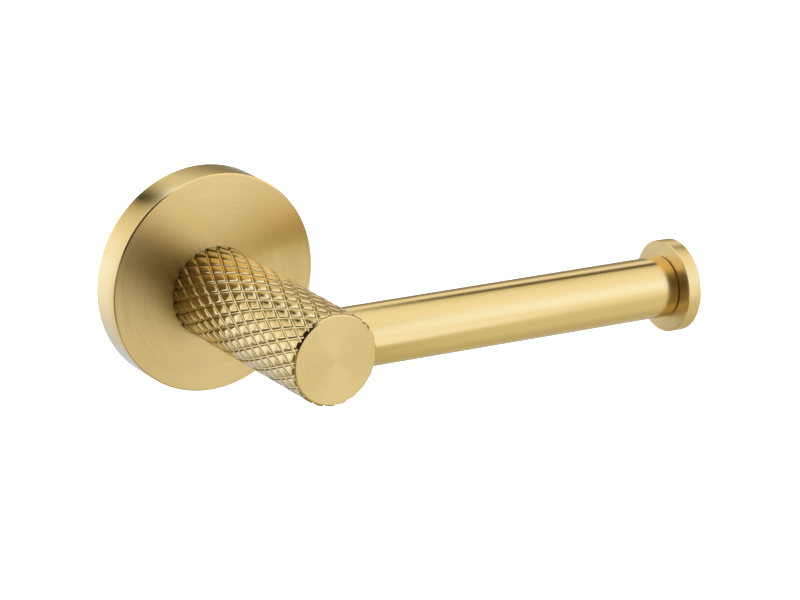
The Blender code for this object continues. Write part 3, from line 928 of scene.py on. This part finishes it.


# Many angles and values in ARM_BANDS and REAR_BANDS are a measuring program's readings of the
# photograph's shading round the arm and the flange rim, rounded and adjusted.
# Light seen at each angle round the arm: degrees from straight ahead (-Y), upwards positive,
# brightness, coolness
ARM_BANDS = [
    (-180, 0.30, 0.3), (-150, 0.50, 0.4), (-125, 0.55, 0.1), (-98, 0.54, 0), (-86, 0.57, 0),
    (-62, 0.70, 0), (-38, 0.71, 0), (-25, 0.75, 0), (-13, 0.85, 0), (0, 0.97, 0),
    (12, 1.25, 0), (30, 1.45, 0), (48, 1.20, 0), (62, 1.02, 0), (82, 0.96, 0), (94, 0.89, 0),
    (108, 0.76, 0), (115, 0.40, 0), (119, 0.05, 0), (126, 0.05, 0), (132, 0.55, 0),
    (138, 0.95, 0), (146, 0.95, 0), (156, 0.50, 0), (167, 0.28, 0),
]
# Light behind the object at each angle round the post: degrees from +X, upwards positive,
# brightness, coolness
REAR_BANDS = [
    (-180, 1.45, 0.2), (-160, 1.40, 0.2), (-140, 1.15, 0.35), (-122, 0.90, 0.45), (-107, 0.74, 0.7),
    (-83, 0.62, 0.9), (-50, 0.62, 1.0), (-20, 0.50, 0.8), (-4, 0.34, 0.2), (12, 0.25, 0),
    (26, 0.29, 0), (45, 0.47, 0), (65, 0.71, 0), (75, 0.68, 0), (86, 0.50, 0), (95, 0.22, 0),
    (101, 0.03, 0), (107, 0.03, 0), (114, 0.38, 0), (122, 0.60, 0), (134, 0.78, 0),
    (150, 0.97, 0), (163, 1.25, 0.1),
]
# Height above the horizon as its sine, brightness, coolness: light where nothing else reaches
SKY = [(-1.0, 0.48, 0), (-0.5, 0.52, 0), (0.0, 0.70, 0), (0.5, 0.80, 0), (1.0, 1.0, 0)]
# Soft round cards: azimuth, elevation, radius of the even middle, radius of the edge, brightness.
# CARDS lie behind the two bands, LAMPS and DARK_CARDS in front of them.
CARDS = [
    (45, 5, 22, 42, 1.20),          # large soft light, front right
    (85, 0, 25, 45, 1.05),          # right
    (-82, 22, 10, 30, 0.42),        # dimmer, left
    (-112, 2, 12, 30, 0.98),        # brighter, far left
    (-125, -36, 10, 32, 0.28),      # dimmer, low left
]
LAMPS = [
    (20, -8, 13, 16, 1.15),         # low, front
    (178, 47, 6, 12, 2.00),         # narrow light above and behind
    (-125, 5, 8, 15, 2.20),         # small and bright, far left
]
DARK_CARDS = [                      # dark gap on the camera's side
    (-34, 40, 12, 28, 0.03),
    (-34, 14, 20, 36, 0.02),
    (-34, -10, 18, 33, 0.03),
    (-36, -32, 8, 24, 0.12),
    (-66, -14, 14, 34, 0.30),
]


def ramp(nodes, value, stops):
    """Colour ramp over a value from 0 to 1. The stops hold half the light, so that none exceeds 1."""
    node = nodes.add("ShaderNodeValToRGB")
    elements = node.color_ramp.elements
    while len(elements) > 1:
        elements.remove(elements[-1])
    for number, (place, brightness, cool) in enumerate(stops):
        element = elements[0] if number == 0 else elements.new(place)
        element.position = place
        element.color = tuple(part / 2 for part in tone(brightness, cool))
    nodes.link(value, node.inputs[0])
    return nodes.vector("MULTIPLY", node.outputs[0], (2.0, 2.0, 2.0))


def turn_ramp(nodes, rise, ahead, bands):
    """Ramp over the angle of a direction in a plane."""
    turn = nodes.math("ARCTAN2", rise, ahead)
    fraction = nodes.math("ADD", nodes.math("DIVIDE", turn, 2 * math.pi), 0.5)
    return ramp(nodes, fraction, [(degrees / 360 + 0.5, *light) for degrees, *light in bands])


def make_world():
    world = bpy.data.worlds.new("studio")
    bpy.context.scene.world = world
    world.use_nodes = True
    tree = world.node_tree
    tree.nodes.clear()
    nodes = Nodes(tree)
    direction = nodes.add("ShaderNodeTexCoord").outputs["Generated"]
    x, y, z = nodes.split(direction)

    def card(light, azimuth, elevation, inner, outer, value):
        dot = nodes.vector("DOT_PRODUCT", direction, direction_to(azimuth, elevation))
        mask = nodes.fade(dot, math.cos(math.radians(outer)), math.cos(math.radians(inner)))
        return nodes.blend(mask, light, tone(value))

    height = nodes.math("MULTIPLY", nodes.math("ADD", z, 1.0), 0.5)
    light = ramp(nodes, height, [((sine + 1) / 2, *rest) for sine, *rest in SKY])
    for settings in CARDS:
        light = card(light, *settings)
    in_front = nodes.math("MULTIPLY", y, -1.0)
    light = nodes.blend(nodes.fade(x, 0.38, 0.48), light, turn_ramp(nodes, z, in_front, ARM_BANDS))
    light = nodes.blend(nodes.fade(y, 0.775, 0.812), light, turn_ramp(nodes, z, x, REAR_BANDS))
    for settings in LAMPS + DARK_CARDS:
        light = card(light, *settings)
    surroundings = nodes.add("ShaderNodeBackground")
    nodes.link(light, surroundings.inputs[0])
    backdrop = nodes.add("ShaderNodeBackground")
    backdrop.inputs[0].default_value = (1, 1, 1, 1)
    seen = nodes.add("ShaderNodeLightPath")
    choose = nodes.add("ShaderNodeMixShader")
    nodes.link(seen.outputs["Is Camera Ray"], choose.inputs[0])
    nodes.link(surroundings.outputs[0], choose.inputs[1])
    nodes.link(backdrop.outputs[0], choose.inputs[2])
    output = nodes.add("ShaderNodeOutputWorld")
    nodes.link(choose.outputs[0], output.inputs[0])


def make_floor():
    size = 40.0
    drop = 1.2
    mesh = mesh_from("floor", [(-size, -size, -drop), (size, -size, -drop), (size, size, -drop),
                               (-size, size, -drop)], [(0, 1, 2, 3)])
    floor = new_object("floor", mesh, Matrix.Identity(4))
    material = bpy.data.materials.new("pale_floor")
    material.use_nodes = True
    shader = material.node_tree.nodes["Principled BSDF"]
    shader.inputs["Base Color"].default_value = (0.9, 0.9, 0.9, 1)
    shader.inputs["Roughness"].default_value = 0.9
    shader.inputs["Emission Color"].default_value = (1, 1, 1, 1)
    shader.inputs["Emission Strength"].default_value = 1.0
    mesh.materials.append(material)
    floor.visible_glossy = False
    floor.visible_diffuse = False


# ---------------------------------------------------------------- camera
def make_camera():
    azimuth = math.radians(-32.63)
    elevation = math.radians(18.21)
    roll = math.radians(2.07)
    distance = 1.2318
    target = Vector((0.04733, -0.03546, -0.00201))
    back = Vector((math.sin(azimuth) * math.cos(elevation),
                   -math.cos(azimuth) * math.cos(elevation), math.sin(elevation)))
    right = (-back).cross(Vector((0, 0, 1))).normalized()
    up = right.cross(-back)
    level = Matrix((right, up, back)).transposed()
    data = bpy.data.cameras.new("camera")
    data.lens = 192.8
    data.sensor_width = 36.0
    data.clip_start = 0.05
    data.clip_end = 60.0
    camera = bpy.data.objects.new("camera", data)
    camera.matrix_world = Matrix.Translation(target + back * distance) @ (
        level @ Matrix.Rotation(roll, 3, "Z")).to_4x4()
    bpy.context.scene.collection.objects.link(camera)
    bpy.context.scene.camera = camera


# ---------------------------------------------------------------- build
def finish_piece(piece, materials, slot, body, *nodes, faces_from=None):
    """Give a piece its materials, its body and the CAD nodes it replaces.

    A second material goes to the faces square to local Z, from the height faces_from upwards."""
    mesh = piece.data
    mesh.materials.clear()
    for material in materials:
        mesh.materials.append(material)
    if len(materials) > 1:
        normals = np.empty(len(mesh.polygons) * 3)
        centres = np.empty(len(mesh.polygons) * 3)
        mesh.polygons.foreach_get("normal", normals)
        mesh.polygons.foreach_get("center", centres)
        square = np.abs(normals.reshape(-1, 3)[:, 2]) > 0.97
        if faces_from is not None:
            square &= centres.reshape(-1, 3)[:, 2] >= faces_from
        mesh.polygons.foreach_set("material_index", square.astype(np.int32))
    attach(piece, body)
    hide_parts(*nodes)


make_camera()
make_world()
make_floor()
bpy.context.scene.view_settings.view_transform = "Standard"

brushed = brushed_face("brushed_gold", FLANGE_RADIUS / MM, 0.29, 0.92, 1.0)
rim = turned_side("turned_rim_gold", 0.0, FLANGE_DEPTH / MM, 0.15, 0.5, 0.0012)
knurl = knurled_side("knurled_gold")
satin = turned_side("satin_gold", ARM_START / MM, ARM_END / MM, 0.16, 0.6, 0.0008)
end_brushed = brushed_face("brushed_gold_small", DISC_RADIUS / MM, 0.32, 0.60, 0.45)
end_rim = turned_side("turned_disc_gold", DISC_INNER / MM, DISC_OUTER / MM, 0.30, 0.3, 0.0012)

finish_piece(make_flange(), [rim, brushed], "brushed_gold", "holder", "wall_flange")
finish_piece(make_post(), [knurl, end_brushed], "knurled_gold", "holder", "knurled_post",
             faces_from=POST_REACH - 0.1 * MM)
finish_piece(make_arm(), [satin], "satin_gold", "holder", "roll_arm")
finish_piece(make_disc(), [end_rim, end_brushed], "brushed_gold", "holder", "arm_end_disc")

pressed = pressed_steel("pressed_stainless")
stainless = turned_steel("turned_stainless")
zinc = zinc_plating("zinc_plate")
nylon = moulded_nylon("grey_nylon")
brass = machined_brass("machined_brass")
finish_piece(make_wall_plate(), [pressed], "stainless_steel", "wall_fixing", "wall_plate")
for label in ("upper", "lower"):
    finish_piece(make_wall_screw(label), [zinc], "zinc_steel", "wall_fixing", f"wall_screw_{label}")
    finish_piece(make_wall_plug(label), [nylon], "grey_nylon", "wall_fixing", f"wall_plug_{label}")
finish_piece(make_grub_screw(), [stainless], "stainless_steel", "grub", "grub_screw")
finish_piece(make_post_screw(), [zinc], "zinc_steel", "holder", "post_screw")
finish_piece(make_spring_washer(), [zinc], "zinc_steel", "holder", "post_spring_washer")
finish_piece(make_pin(), [stainless], "stainless_steel", "holder", "post_locating_pin")
finish_piece(make_stud("arm_stud", 4.0 * MM, 1.25 * MM, 2.0 * MM, True), [zinc], "zinc_steel", "holder",
             "arm_stud")
finish_piece(make_stud("disc_stud", 3.0 * MM, 1.0 * MM, 1.5 * MM, False), [zinc], "zinc_steel", "holder",
             "disc_stud")
finish_piece(make_insert("arm_root_insert", 4.3 * MM), [brass], "raw_brass", "holder", "arm_root_insert")
finish_piece(make_insert("arm_tip_insert", 3.3 * MM), [brass], "raw_brass", "holder", "arm_tip_insert")

bpy.context.view_layer.update()
